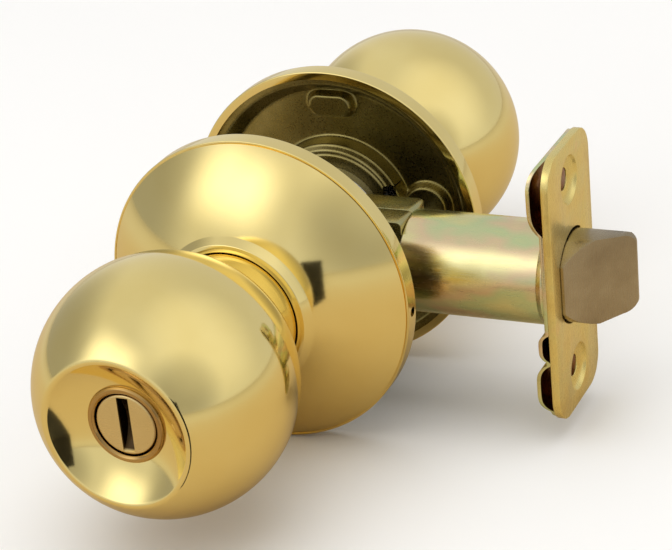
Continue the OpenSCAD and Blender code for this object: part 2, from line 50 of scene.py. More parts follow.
DOOR = 17.5
BALL_R = 25.4
BALL_Z = 62.0
BALL_T = 1.0
DISH_R = 14.8
BOWL_R = 21.5
RIM_Z = BALL_Z + math.sqrt(BALL_R ** 2 - DISH_R ** 2)
BOWL_Z = RIM_Z + math.sqrt(BOWL_R ** 2 - DISH_R ** 2)
BEZEL_R = 7.9
BUTTON_Z = BOWL_Z - math.sqrt(BOWL_R ** 2 - BEZEL_R ** 2)
FACE_Z = BUTTON_Z + 0.1
NECK_R = 14.0
CORE_Z = BALL_Z - 16.5
ROSETTE_R = 33.0
RIM_TOP = DOOR + 4.0
HEM_R = ROSETTE_R - 1.7
DOME_EDGE_R = ROSETTE_R - 0.45
DOME_CROWN_R, DOME_CROWN_Z = 16.9, DOOR + 13.94
DOME_Z = ((DOME_CROWN_R ** 2 + DOME_CROWN_Z ** 2 - DOME_EDGE_R ** 2 - RIM_TOP ** 2)
          / (2 * (DOME_CROWN_Z - RIM_TOP)))
DOME_R = math.hypot(DOME_EDGE_R, RIM_TOP - DOME_Z)
COLLAR_Z = DOOR + 15.9
SCREW_X = 20.5
SCREWS_X = (-SCREW_X, SCREW_X)
HEAD_SEAT = DOOR + 9.1
PLATE_FLOOR_Z = DOOR + 4.8
HUB_IN, HUB_OUT = 9.56, 11.8
SHANK_R = 9.5
BARREL_R = 10.6
CASE_FRONT_X = 26.2
BACKSET = 60.3
PLATE_X = 58.7
BACK_X = 57.9
PLATE_W, PLATE_H = 25.4, 57.15
HOLE_Z = 20.64
FACE_HOLE_R = 2.3
BOLT_R = 9.5
BOLT_FRONT, BOLT_BACK = -8.0, 5.0
BOLT_REAR_X = 51.3
BOLT_TIP_X = 72.1


# ---------------------------------------------------------------- shapes

# A place turns a piece's own (x, y, z) in millimetres into the set's frame in metres.

def front(p):
    """The piece's z goes out of the door's front, towards -Y."""
    return Vector((p[0], -p[2], p[1])) * MM


def rear(p):
    """The piece's z goes out of the door's rear, towards +Y."""
    return Vector((p[0], p[2], p[1])) * MM


def latch(p):
    """The piece's z goes along the latch, towards +X."""
    return Vector((p[2], p[0], p[1])) * MM


def along_x(place):
    """The same place with the piece's z turned onto its x."""
    def turned(p):
        return place((p[2], p[0], p[1]))
    return turned


def moved(place, x, y=0):
    """The same place with the piece shifted first."""
    def shifted(p):
        return place((p[0] + x, p[1] + y, p[2]))
    return shifted


def arc(cr, cz, radius, a0, a1, steps):
    """Points (r, z) on a circle round (cr, cz), angles in degrees from the r axis."""
    points = []
    for i in range(steps + 1):
        a = math.radians(a0 + (a1 - a0) * i / steps)
        points.append((cr + radius * math.cos(a), cz + radius * math.sin(a)))
    return points


def angle_at(cr, cz, r, z):
    """The angle, for arc, of a point seen from (cr, cz)."""
    return math.degrees(math.atan2(z - cz, r - cr))


def bend(start, corner, end, t):
    """A point on the curve from start to end that leans towards the corner."""
    return start * (1 - t) ** 2 + corner * 2 * t * (1 - t) + end * t * t


# The most of an edge that the arc at one of its ends may take
MOST_CUT = 0.45


def filleted(points, radius, closed=True, steps=5, min_turn=14.0):
    """The outline with each sharp corner turned into a small arc."""
    out = []
    n = len(points)
    for i in range(n):
        p = Vector(points[i])
        if not closed and i in (0, n - 1):
            out.append(p)
            continue
        a = Vector(points[i - 1]) - p
        b = Vector(points[(i + 1) % n]) - p
        la, lb = a.length, b.length
        if la < 1e-6 or lb < 1e-6:
            continue
        a, b = a / la, b / lb
        turn = 180 - math.degrees(math.acos(max(-1, min(1, a.dot(b)))))
        if turn < min_turn:
            out.append(p)
            continue
        half = math.radians(180 - turn) / 2
        cut = min(radius / math.tan(half), la * MOST_CUT, lb * MOST_CUT)
        start, end = p + a * cut, p + b * cut
        out += [bend(start, p, end, k / steps) for k in range(steps + 1)]
    return [(q[0], q[1]) for q in out]


def add_object(name, data):
    obj = bpy.data.objects.new(name, data)
    bpy.context.scene.collection.objects.link(obj)
    return obj


def add_mesh(name, bm):
    mesh = bpy.data.meshes.new(name)
    bm.to_mesh(mesh)
    bm.free()
    return add_object(name, mesh)


def shade_smooth(mesh, sharp):
    """Smooth faces, with edges over the sharp angle kept sharp."""
    mesh.set_sharp_from_angle(angle=math.radians(sharp))
    mesh.polygons.foreach_set("use_smooth", [True] * len(mesh.polygons))


def finish_mesh(name, bm, sharp=28.0):
    bmesh.ops.remove_doubles(bm, verts=bm.verts, dist=1e-7)
    bmesh.ops.recalc_face_normals(bm, faces=bm.faces)
    obj = add_mesh(name, bm)
    shade_smooth(obj.data, sharp)
    return obj


def lathe(name, profile, place, closed=True, segments=160, sharp=28.0):
    """Turns an (r, z) outline round the z axis."""
    bm = bmesh.new()
    rings = []
    for r, z in profile:
        ring = []
        for k in range(segments):
            a = 2 * math.pi * k / segments
            ring.append(bm.verts.new(place((r * math.cos(a), r * math.sin(a), z))))
        rings.append(ring)
    count = len(rings) if closed else len(rings) - 1
    for i in range(count):
        lower, upper = rings[i], rings[(i + 1) % len(rings)]
        for k in range(segments):
            n = (k + 1) % segments
            bm.faces.new((lower[k], lower[n], upper[n], upper[k]))
    return finish_mesh(name, bm, sharp)


def prism(name, outline, low, high, place, sharp=28.0):
    """A flat outline (u, v) drawn from low to high along the third axis."""
    bm = bmesh.new()
    bottom = [bm.verts.new(place((u, v, low))) for u, v in outline]
    top = [bm.verts.new(place((u, v, high))) for u, v in outline]
    bm.faces.new(bottom[::-1])
    bm.faces.new(top)
    n = len(outline)
    for i in range(n):
        j = (i + 1) % n
        bm.faces.new((bottom[i], bottom[j], top[j], top[i]))
    return finish_mesh(name, bm, sharp)


def apply_modifiers(obj, sharp=28.0):
    graph = bpy.context.evaluated_depsgraph_get()
    graph.update()
    mesh = bpy.data.meshes.new_from_object(obj.evaluated_get(graph))
    old = obj.data
    obj.modifiers.clear()
    obj.data = mesh
    mesh.name = obj.name
    bpy.data.meshes.remove(old)
    shade_smooth(mesh, sharp)
    return obj


def combine(obj, others, operation):
    """Cuts away the other meshes, or keeps what they share; they are used up."""
    for other in others:
        modifier = obj.modifiers.new("cut", "BOOLEAN")
        modifier.object = other
        modifier.operation = operation
        modifier.solver = "EXACT"
    apply_modifiers(obj)
    for other in others:
        bpy.data.objects.remove(other)
    return obj


def soften(obj, width, segments=3, angle=40.0):
    """Small rounded edges."""
    modifier = obj.modifiers.new("edge", "BEVEL")
    modifier.width = width * MM
    modifier.segments = segments
    modifier.limit_method = "ANGLE"
    modifier.angle_limit = math.radians(angle)
    modifier.miter_outer = "MITER_ARC"
    return apply_modifiers(obj, 50.0)


def join(name, parts):
    bm = bmesh.new()
    for part in parts:
        bm.from_mesh(part.data)
        bpy.data.objects.remove(part)
    return add_mesh(name, bm)


def cylinder(name, place, x, y, low, high, radius, segments=72):
    turns = [2 * math.pi * k / segments for k in range(segments)]
    outline = [(x + radius * math.cos(a), y + radius * math.sin(a)) for a in turns]
    return prism(name, outline, low, high, place)


def block(name, place, low, high):
    outline = [(low[0], low[1]), (high[0], low[1]), (high[0], high[1]), (low[0], high[1])]
    return prism(name, outline, low[2], high[2], place)


def rounded_outline(w, h, r):
    """A rectangle round the origin with rounded corners."""
    x, y = w / 2 - r, h / 2 - r
    points = []
    for cx, cy, a0 in ((x, y, 0), (-x, y, 90), (-x, -y, 180), (x, -y, 270)):
        points += arc(cx, cy, r, a0, a0 + 90, 12)
    return points


def d_outline(gap, steps=40):
    """The bolt's section with a gap round it: two arcs and two flats, as (y, z)."""
    r = BOLT_R + gap
    low, high = BOLT_FRONT - gap, BOLT_BACK + gap
    a_high = math.degrees(math.acos(high / r))
    a_low = math.degrees(math.acos(low / r))
    return arc(0, 0, r, a_high, a_low, steps) + arc(0, 0, r, 360 - a_low, 360 - a_high, steps)


# ---------------------------------------------------------------- materials

class Nodes:
    """A node tree, with short ways to add nodes to it."""

    def __init__(self, tree, coords):
        self.tree = tree
        self.coords = tree.nodes.new("ShaderNodeTexCoord").outputs[coords]

    def node(self, kind, **values):
        made = self.tree.nodes.new(kind)
        for key, value in values.items():
            setattr(made, key, value)
        return made

    def link(self, a, b):
        self.tree.links.new(a, b)

    def put(self, value, socket):
        if hasattr(value, "links"):
            self.link(value, socket)
        else:
            socket.default_value = value

    def calc(self, operation, a, b=0.0):
        made = self.node("ShaderNodeMath", operation=operation)
        self.put(a, made.inputs[0])
        self.put(b, made.inputs[1])
        return made.outputs[0]

    def along(self, direction):
        """How far the coordinate reaches along a direction."""
        made = self.node("ShaderNodeVectorMath", operation="DOT_PRODUCT")
        self.link(self.coords, made.inputs[0])
        made.inputs[1].default_value = direction
        return made.outputs["Value"]

    def ease(self, value, start, end):
        """0 at start and 1 at end, with a smooth step between."""
        made = self.node("ShaderNodeMapRange", interpolation_type="SMOOTHSTEP")
        made.inputs["From Min"].default_value = start
        made.inputs["From Max"].default_value = end
        self.link(value, made.inputs["Value"])
        return made.outputs["Result"]

    def ramp(self, value, stops):
        """Colours at positions from 0 to 1, blended between."""
        made = self.node("ShaderNodeValToRGB")
        elements = made.color_ramp.elements
        while len(elements) < len(stops):
            elements.new(0.5)
        for element, (position, colour) in zip(elements, stops):
            element.position = position
            element.color = (*colour, 1)
        self.link(value, made.inputs["Fac"])
        return made.outputs["Color"]


class Shader(Nodes):
    """A material with its main shader."""

    def __init__(self, name):
        self.material = bpy.data.materials.new(name)
        self.material.use_nodes = True
        super().__init__(self.material.node_tree, "Object")
        self.bsdf = self.tree.nodes["Principled BSDF"]

    def noise(self, scale, size, detail, roughness=0.55):
        """Noise whose features are about 1 / scale metres; a size under 1 draws them out along that axis."""
        mapping = self.node("ShaderNodeMapping")
        mapping.inputs["Scale"].default_value = size
        self.link(self.coords, mapping.inputs["Vector"])
        made = self.node("ShaderNodeTexNoise")
        made.inputs["Scale"].default_value = scale
        made.inputs["Detail"].default_value = detail
        made.inputs["Roughness"].default_value = roughness
        self.link(mapping.outputs["Vector"], made.inputs["Vector"])
        return made.outputs["Fac"]

    def span(self, value, low, high):
        """Spreads the middle of a noise from low to high."""
        made = self.node("ShaderNodeMapRange")
        made.inputs["From Min"].default_value = 0.3
        made.inputs["From Max"].default_value = 0.7
        made.inputs["To Min"].default_value = low
        made.inputs["To Max"].default_value = high
        self.link(value, made.inputs["Value"])
        return made.outputs["Result"]

    def bump(self, height, strength, distance, normal=None):
        made = self.node("ShaderNodeBump")
        made.inputs["Strength"].default_value = strength
        made.inputs["Distance"].default_value = distance
        self.link(height, made.inputs["Height"])
        if normal:
            self.link(normal, made.inputs["Normal"])
        return made.outputs["Normal"]

    def set(self, socket, value):
        self.put(value, self.bsdf.inputs[socket])


EVEN = (1.0, 1.0, 1.0)


def metal(name, colour_stops, roughness, grain_scale, grain_size, grain_depth, coat=0.0,
          colour_scale=60.0, colour_size=EVEN, wave=None):
    """A metal with slow colour change, a grain and fine marks at real scale."""
    s = Shader(name)
    s.set("Metallic", 1.0)
    slow = s.noise(colour_scale, colour_size, 3.0)
    s.set("Base Color", s.ramp(slow, colour_stops))
    marks = s.noise(grain_scale, grain_size, 6.0, 0.65)
    s.set("Roughness", s.span(marks, *roughness))
    normal = s.bump(marks, 1.0, grain_depth)
    if wave:
        wave_scale, wave_height = wave
        normal = s.bump(s.noise(wave_scale, EVEN, 2.0), 1.0, wave_height, normal)
    s.set("Normal", normal)
    if coat:
        s.set("Coat Weight", coat)
        s.set("Coat Roughness", 0.04)
        s.set("Coat IOR", 1.5)
    return s.material


def polished_brass():
    """Lacquered, buffed brass: clear reflections, faint buffing marks and a very slight waviness."""
    colours = [(0.3, (0.905, 0.725, 0.285)), (0.5, (0.93, 0.755, 0.31)), (0.7, (0.945, 0.78, 0.335))]
    return metal("polished_brass", colours, (0.07, 0.115), 2600.0, (1.0, 0.12, 1.0), 0.0000004,
                 coat=0.12, wave=(45.0, 0.000018))


def brushed_brass():
    """Button: brass brushed in one direction, with near-black painted shade on all of it below its face, in
    the slot and inside the bezel.
    """
    colours = [(0.3, (0.70, 0.53, 0.235)), (0.7, (0.80, 0.62, 0.30))]
    material = metal("brushed_brass", colours, (0.24, 0.40), 5200.0, (0.06, 1.0, 1.0), 0.0000022, coat=0.1)
    s = Nodes(material.node_tree, "Object")
    depth = s.calc("ABSOLUTE", s.along((0, 1, 0)))
    # Painted shade: near black below the button's face, in the slot and down inside the bezel.
    painted_shade_below_face = s.ease(depth, (BUTTON_Z - 0.02) * MM, (BUTTON_Z - 0.55) * MM)
    return tinted(material, painted_shade_below_face, (0.075, 0.045, 0.018), s)


def tarnished_brass():
    """Bezel: the same brass gone brown where polish doesn't reach."""
    colours = [(0.3, (0.40, 0.235, 0.075)), (0.7, (0.58, 0.37, 0.125))]
    return metal("tarnished_brass", colours, (0.10, 0.20), 2600.0, EVEN, 0.0000008, coat=0.2)


def satin_brass():
    """Faceplate: satin brass brushed along its height, with a faint green and pink bloom."""
    colours = [(0.30, (0.82, 0.64, 0.22)), (0.45, (0.89, 0.72, 0.27)), (0.6, (0.85, 0.73, 0.30)),
               (0.72, (0.90, 0.69, 0.30))]
    return metal("satin_brass", colours, (0.22, 0.34), 4200.0, (1.0, 1.0, 0.05), 0.0000018,
                 colour_scale=130.0)


def yellow_chromate(name="yellow_chromate"):
    """Barrel: zinc plating with yellow chromate, iridescent green to pink, rolled along its length."""
    colours = [(0.25, (0.60, 0.56, 0.24)), (0.38, (0.78, 0.73, 0.36)), (0.47, (0.62, 0.70, 0.38)),
               (0.55, (0.82, 0.64, 0.40)), (0.64, (0.84, 0.77, 0.40)), (0.80, (0.64, 0.58, 0.27))]
    return metal(name, colours, (0.17, 0.30), 3000.0, (0.09, 1.0, 1.0), 0.0000020,
                 colour_scale=75.0, colour_size=(0.45, 1, 1), wave=(120.0, 0.000012))


def tinted(material, mask, colour, s):
    """Turns a material's colour into another where the mask is 1."""
    base = material.node_tree.nodes["Principled BSDF"].inputs["Base Color"]
    mix = s.node("ShaderNodeMix", data_type="RGBA", blend_type="MIX")
    s.link(mask, mix.inputs["Factor"])
    s.link(base.links[0].from_socket, mix.inputs[6])
    mix.inputs[7].default_value = (*colour, 1)
    s.link(mix.outputs[2], base)
    return material


def chromate_with_painted_shade():
    """Back plate: chromate outside, with red-brown painted shade on the side that faces the faceplate."""
    material = yellow_chromate("chromate_with_painted_shade")
    s = Nodes(material.node_tree, "Normal")
    # Painted shade: red-brown on the faces turned towards the faceplate, in the gap between the two plates.
    return tinted(material, s.ease(s.along((1, 0, 0)), 0.15, 0.55), (0.26, 0.10, 0.045), s)


def chromate_in_painted_shade():
    """Latch case: a darker copy of the same plating, painted shade for the case between the two rosettes."""
    colours = [(0.25, (0.34, 0.28, 0.11)), (0.45, (0.46, 0.40, 0.18)), (0.6, (0.42, 0.42, 0.22)),
               (0.8, (0.54, 0.46, 0.22))]
    return metal("chromate_in_painted_shade", colours, (0.20, 0.34), 2600.0, (0.3, 1.0, 1.0), 0.0000022,
                 colour_scale=85.0, wave=(110.0, 0.000012))


def olive_chromate():
    """Inside plates: darker plating on drawn steel."""
    colours = [(0.25, (0.20, 0.16, 0.050)), (0.5, (0.28, 0.23, 0.080)), (0.72, (0.37, 0.31, 0.13))]
    return metal("olive_chromate", colours, (0.22, 0.38), 2400.0, EVEN, 0.0000022,
                 colour_scale=90.0, wave=(80.0, 0.00002))


def cast_zinc():
    """Bolt: grey-brown cast metal, milled across the bevel."""
    colours = [(0.3, (0.33, 0.265, 0.175)), (0.5, (0.39, 0.32, 0.215)), (0.7, (0.45, 0.38, 0.265))]
    return metal("cast_zinc", colours, (0.20, 0.33), 3600.0, (1.0, 1.0, 0.06), 0.0000020,
                 colour_scale=110.0)


def plated_steel():
    colours = [(0.3, (0.48, 0.46, 0.41)), (0.7, (0.62, 0.60, 0.55))]
    return metal("plated_steel", colours, (0.20, 0.36), 2600.0, EVEN, 0.0000020)


def bright_steel():
    colours = [(0.3, (0.60, 0.60, 0.58)), (0.7, (0.70, 0.70, 0.68))]
    return metal("bright_steel", colours, (0.12, 0.24), 3000.0, EVEN, 0.0000012)


MATERIALS = {
    "polished_brass": polished_brass(),
    "brushed_brass": brushed_brass(),
    "tarnished_brass": tarnished_brass(),
    "satin_brass": satin_brass(),
    "yellow_chromate": yellow_chromate(),
    "chromate_with_painted_shade": chromate_with_painted_shade(),
    "chromate_in_painted_shade": chromate_in_painted_shade(),
    "olive_chromate": olive_chromate(),
    "cast_zinc": cast_zinc(),
    "plated_steel": plated_steel(),
    "bright_steel": bright_steel(),
}
SLOT_OF = {entry["node"]: entry["material_slot"] for entry in frame["record"]["subparts"]}


def dress(obj, look):
    obj.data.materials.clear()
    obj.data.materials.append(MATERIALS[look])


def stand_for(obj, node, body, look=None):
    """Gives a finished piece its look and its place in the assembly."""
    slot = SLOT_OF[node]
    dress(obj, look or slot)
    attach(obj, body)
    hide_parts(node)
    return obj


# ---------------------------------------------------------------- knobs

def ball_profile():
    """Sheet outline of a ball: outside, rim, bowl, bezel hole and back along the inside."""
    hole_r = NECK_R + 0.05
    inner_ball, outer_bowl = BALL_R - BALL_T, BOWL_R + BALL_T
    start = angle_at(0, 0, hole_r, -math.sqrt(BALL_R ** 2 - hole_r ** 2))
    outside = arc(0, BALL_Z, BALL_R, start, angle_at(0, BALL_Z, DISH_R, RIM_Z), 96)
    bowl_start, bowl_end = angle_at(0, BOWL_Z, DISH_R, RIM_Z), angle_at(0, BOWL_Z, BEZEL_R, BUTTON_Z)
    bowl = arc(0, BOWL_Z, BOWL_R, bowl_start, bowl_end, 36)
    gap = BOWL_Z - BALL_Z
    meet_z = (inner_ball ** 2 - outer_bowl ** 2 + gap ** 2) / (2 * gap)
    meet_r = math.sqrt(inner_ball ** 2 - meet_z ** 2)
    meet = (meet_r, BALL_Z + meet_z)
    back_z = BOWL_Z - math.sqrt(outer_bowl ** 2 - BEZEL_R ** 2)
    back_start, back_end = angle_at(0, BOWL_Z, BEZEL_R, back_z), angle_at(0, BOWL_Z, *meet)
    back = arc(0, BOWL_Z, outer_bowl, back_start, back_end, 24)
    end = angle_at(0, 0, hole_r, -math.sqrt(inner_ball ** 2 - hole_r ** 2))
    inside = arc(0, BALL_Z, inner_ball, angle_at(0, BALL_Z, *meet), end, 48)
    return outside, bowl, back[1:], inside[1:]


def knob_shell(name, place):
    """Thin ball with a dished recess; the rim between them is rounded."""
    outside, bowl, back, inside = ball_profile()
    rim_corner, rim_round, steps = (DISH_R, RIM_Z), 0.9, 12
    outside = [p for p in outside if math.dist(p, rim_corner) > rim_round]
    bowl = [p for p in bowl if math.dist(p, rim_corner) > rim_round]
    start, corner, end = Vector(outside[-1]), Vector(rim_corner), Vector(bowl[0])
    rim = [tuple(bend(start, corner, end, k / steps)) for k in range(1, steps)]
    return lathe(name, outside + rim + bowl + back + inside, place, segments=256, sharp=40)


def neck(name, place):
    """Tube between ball and rosette, a hair narrower where it enters the ball."""
    low, inner, end_r = DOOR + 13.7, NECK_R - 0.9, NECK_R - 0.12
    profile = filleted([(inner, low), (NECK_R, low), (NECK_R, CORE_Z - 1.2), (end_r, CORE_Z - 0.9),
                        (end_r, CORE_Z), (inner, CORE_Z)], 0.15)
    return lathe(name, profile, place, segments=192)


def bezel(name, place):
    """Eyelet: a ring with a flange behind the ball's sheet and a rolled lip in front."""
    inner, outer, flange = BEZEL_R - 1.4, BEZEL_R - 0.05, BEZEL_R + 0.85
    z = BUTTON_Z
    lip_z, seat_z, back_z = z + 0.5, z - 1.2, z - 2.1
    profile = filleted([(inner, back_z), (flange, back_z), (flange, seat_z), (outer, seat_z),
                        (outer, z + 0.15), (outer - 0.35, lip_z), (inner + 0.4, lip_z),
                        (inner, z + 0.1)], 0.22)
    return lathe(name, profile, place, segments=128)


def button_blank(name, place):
    """Round button on a stem, with a flange that keeps it behind the bezel."""
    face_r, flange_r, stem_r = BEZEL_R - 1.7, BEZEL_R - 0.5, 3.9
    stem_z, flange_z, step_z = BALL_Z - 10, BUTTON_Z - 4, BUTTON_Z - 2.7
    back = [(AXIS_R, stem_z), (stem_r, stem_z), (stem_r, flange_z), (flange_r, flange_z), (flange_r, step_z),
            (face_r, step_z)]
    face = filleted([(face_r, step_z), (face_r, FACE_Z), (AXIS_R, FACE_Z)], 0.55, closed=False, steps=8)
    return lathe(name, back + face[1:], place, segments=128)


def slotted_button(name, place):
    """The slot's floor is an arc, as a round cutter leaves it."""
    blank = button_blank(name, place)
    radius, depth, half = 6.7, 3.0, 1.2
    cutter = cylinder("slot_cutter", along_x(place), 0, FACE_Z - depth + radius, -half, half, radius, 128)
    combine(blank, [cutter], "DIFFERENCE")
    return soften(blank, 0.12, 2, 45)


def thumb_turn(name, place):
    """Button with a crowned paddle to grip instead of a slot."""
    blank = button_blank(name, place)
    low, top, half_w, half_l, rise, steps = BUTTON_Z - 1, BUTTON_Z + 4, 1.3, 4.5, 1.2, 24
    turns = [math.pi * k / steps for k in range(1, steps)]
    crown = [(half_l, low), (half_l, top)]
    crown += [(half_l * math.cos(a), top + rise * math.sin(a)) for a in turns]
    crown += [(-half_l, top), (-half_l, low)]
    paddle = prism("paddle", crown, -half_w, half_w, along_x(place))
    soften(paddle, 0.45, 4, 40)
    return join(name, [blank, paddle])


# ---------------------------------------------------------------- rosettes

def dome_arc(radius, r_from, r_to, steps):
    """Part of a sphere round the dome's centre, between two radii from the axis."""
    first, last = (angle_at(0, 0, r, math.sqrt(radius ** 2 - r ** 2)) for r in (r_from, r_to))
    return arc(0, DOME_Z, radius, first, last, steps)


def rosette(name, place):
    """Spun dome with a fine crease over its rim band, a hem at the door and a collar round the neck."""
    sheet, hem_top = 0.9, DOOR + 1.1
    inner_r, collar_r, lip_r = HEM_R - 1.1, NECK_R + 0.12, DOME_EDGE_R + 0.05
    rim = filleted([(HEM_R, DOOR), (ROSETTE_R, DOOR), (ROSETTE_R, RIM_TOP), (lip_r, RIM_TOP)], 0.3,
                   closed=False)
    crease_r, crease_floor = lip_r - 0.16, RIM_TOP - 0.4
    groove = [(lip_r, crease_floor), (crease_r, crease_floor)]
    dome = dome_arc(DOME_R, crease_r, DOME_CROWN_R, 60)
    collar = filleted([dome[-1], (16.6, COLLAR_Z - 1.6), (15.7, COLLAR_Z - 0.2), (15.0, COLLAR_Z),
                       (collar_r, COLLAR_Z), (collar_r, COLLAR_Z - 2.4)], 0.35, closed=False, min_turn=10)
    inside = dome_arc(DOME_R - sheet, collar_r + 0.2, inner_r, 40)
    hem_r = ROSETTE_R - sheet
    hem = [(inner_r, DOOR + 2.8), (hem_r, DOOR + 2.7), (hem_r, hem_top), (HEM_R, hem_top)]
    return lathe(name, rim + groove + dome + collar[1:] + inside + hem, place, segments=256)


def front_rosette():
    """The hole in the rim is for prying the cover off."""
    obj = rosette("front_rosette_brass", front)
    pry_z, pry_r = 1.9, 1.0
    pry = cylinder("pry", along_x(front), -pry_z, DOOR + pry_z, ROSETTE_R - 3, ROSETTE_R + 3, pry_r, 40)
    return combine(obj, [pry], "DIFFERENCE")


def rear_rosette():
    """Two cups are sunk in the dome for the screws' heads."""
    obj = rosette("rear_rosette_brass", rear)
    pocket, hole_r, base_z = 4.2, 2.3, HEAD_SEAT - 1
    cutters = [cylinder("pocket", rear, x, 0, HEAD_SEAT - 2, HEAD_SEAT + 9, pocket) for x in SCREWS_X]
    combine(obj, cutters, "DIFFERENCE")
    cup_r = pocket + 0.6
    wall_top = DOME_Z + math.sqrt(DOME_R ** 2 - (SCREW_X + pocket) ** 2) - 0.3
    outline = [(cup_r, base_z), (hole_r, base_z), (hole_r, HEAD_SEAT), (pocket, HEAD_SEAT),
               (pocket, wall_top), (cup_r, wall_top)]
    cups = [lathe("cup", outline, moved(rear, x), segments=64) for x in SCREWS_X]
    return join("rear_rosette_brass", [obj] + cups)


def smooth_step(low, high, value):
    """0 at low and 1 at high, with a smooth step between."""
    t = max(0.0, min(1.0, (value - low) / (high - low)))
    return t * t * (3 - 2 * t)


def segment_distance(x, y, ax, ay, bx, by):
    """From a point to the line between two others."""
    dx, dy = bx - ax, by - ay
    t = max(0.0, min(1.0, ((x - ax) * dx + (y - ay) * dy) / (dx * dx + dy * dy)))
    return math.hypot(x - ax - t * dx, y - ay - t * dy)


# The mounting plate's section: radius from the axis and height
PLATE_PROFILE = [(11.85, 17.05), (14.3, 17.2), (14.7, 18.35), (16.1, 18.7), (16.7, 22.3), (27.4, 22.3),
                 (29.8, 18.75), (31.9, 18.7)]
PAD_Y, PAD_HALF, PAD_R = 24.3, 2.5, 2.75
BOSS_HALF, BOSS_R = 2.2, 5.1
PAD_TOP = 20.0
HOLE_LEFT, HOLE_RIGHT, HOLE_LOW, HOLE_HIGH = 12.2, 14.6, 5.0, 7.6


def plate_height(r, x, y, profile):
    """Height of the sheet's face, with the two pads and the two bosses pressed towards the door."""
    z = profile[-1][1]
    for (r0, z0), (r1, z1) in zip(profile, profile[1:]):
        if r0 <= r <= r1:
            z = z0 + (z1 - z0) * (r - r0) / max(r1 - r0, 1e-9)
            break
    pressed = 0.0
    for s in (-1, 1):
        pad = segment_distance(x, y, -PAD_HALF, s * PAD_Y, PAD_HALF, s * PAD_Y) - PAD_R
        boss = segment_distance(x, y, s * SCREW_X, -BOSS_HALF, s * SCREW_X, BOSS_HALF) - BOSS_R
        pressed = max(pressed, 1 - smooth_step(-0.6, 0.5, min(pad, boss)))
    return z + (min(z, PAD_TOP) - z) * pressed


def mounting_plate(name, place):
    """Drawn sheet with soft bends, obround pads and a small square hole between the hub and one boss."""
    profile = filleted(PLATE_PROFILE, 0.8, closed=False)
    ring_gap, segments = 0.28, 360
    radii = []
    for (r0, _), (r1, _) in zip(profile, profile[1:]):
        steps = max(1, int((r1 - r0) / ring_gap))
        radii += [r0 + (r1 - r0) * k / steps for k in range(steps)]
    radii.append(profile[-1][0])
    bm = bmesh.new()
    rings = []
    for r in radii:
        ring = []
        for k in range(segments):
            a = 2 * math.pi * k / segments
            x, y = r * math.cos(a), r * math.sin(a)
            ring.append(bm.verts.new(place((x, y, plate_height(r, x, y, profile)))))
        rings.append(ring)
    for i in range(len(rings) - 1):
        r = (radii[i] + radii[i + 1]) / 2
        for k in range(segments):
            a = 2 * math.pi * (k + 0.5) / segments
            x, y = r * math.cos(a), r * math.sin(a)
            if HOLE_LEFT < x < HOLE_RIGHT and HOLE_LOW < y < HOLE_HIGH:
                continue
            n = (k + 1) % segments
            bm.faces.new((rings[i][k], rings[i][n], rings[i + 1][n], rings[i + 1][k]))
    obj = finish_mesh(name, bm, 60)
    outward = place((0, 0, 1)).normalized()
    shell = obj.modifiers.new("sheet", "SOLIDIFY")
    shell.thickness = 0.8 * MM
    normal = sum((f.normal for f in obj.data.polygons), Vector()).normalized()
    shell.offset = -1.0 if normal.dot(outward) < 0 else 1.0
    return apply_modifiers(obj, 60)


def hub(name, place):
    """Bearing tube with a flange on the mounting plate."""
    low, high, flange_r, flange_low, flange_high = DOOR - 2.9, DOOR + 10, 13.2, DOOR + 0.7, DOOR + 1.8
    profile = filleted([(HUB_IN, low), (HUB_OUT, low), (HUB_OUT, flange_low), (flange_r, flange_low),
                        (flange_r, flange_high), (HUB_OUT, flange_high), (HUB_OUT, high),
                        (HUB_IN, high)], 0.3)
    return lathe(name, profile, place, segments=128)


def retaining_ring(name, place):
    """Snap ring in the shank's groove, open at the bottom."""
    low, inner, outer = DOOR - 4.15, SHANK_R - 0.85, SHANK_R + 1.7
    high = low + 1.1
    section = filleted([(inner, low), (outer, low), (outer, high), (inner, high)], 0.2)
    ring = lathe(name, section, place, segments=128)
    gap = block("gap", place, (-2, -14, low - 1), (2, -6, low + 2.2))
    return combine(ring, [gap], "DIFFERENCE")


# ---------------------------------------------------------------- latch

def barrel():
    """Tube with its rear edge turned in."""
    lip, r, inner = 9.5, BARREL_R, BARREL_R - 0.7
    x0, x1, lip_x = CASE_FRONT_X, BACK_X, CASE_FRONT_X + 0.9
    profile = filleted([(lip, x0), (r, x0), (r, x1), (inner, x1), (inner, lip_x), (lip, lip_x)], 0.5)
    return lathe("barrel_steel", profile, latch, segments=160)


def barrel_collar():
    r, x = BARREL_R + 0.01, BACK_X
    profile = filleted([(r, x - 2.2), (r + 0.5, x - 1.8), (r + 0.9, x - 0.9), (r + 0.6, x - 0.1),
                        (r, x - 0.1)], 0.25)
    return lathe("barrel_collar_steel", profile, latch, segments=128)


def dished_cutter(z):
    """Round-sided seat for an oval screw head, pressed into the faceplate."""
    wide, narrow, depth, steps = 5.0, FACE_HOLE_R, 1.25, 10
    wall = []
    for k in range(steps):
        t = k / steps
        wall.append((narrow + (wide - narrow) * t, BACKSET - depth * math.sqrt(1 - t * t)))
    top = BACKSET + 1
    profile = [(AXIS_R, wall[0][1])] + wall + [(wide, BACKSET + 0.05), (wide, top), (AXIS_R, top)]
    return lathe("sink", profile, moved(latch, 0, z), segments=72)


def faceplate():
    plate = prism("faceplate_brass", rounded_outline(PLATE_W, PLATE_H, 6.0), PLATE_X, BACKSET, latch)
    cutters = [prism("opening", d_outline(0.4), PLATE_X - 1, BACKSET + 1, latch)]
    for s in (-1, 1):
        cutters.append(cylinder("hole", latch, 0, s * HOLE_Z, PLATE_X - 1, BACKSET + 1, FACE_HOLE_R))
        cutters.append(dished_cutter(s * HOLE_Z))
    combine(plate, cutters, "DIFFERENCE")
    return soften(plate, 0.22, 3, 35)


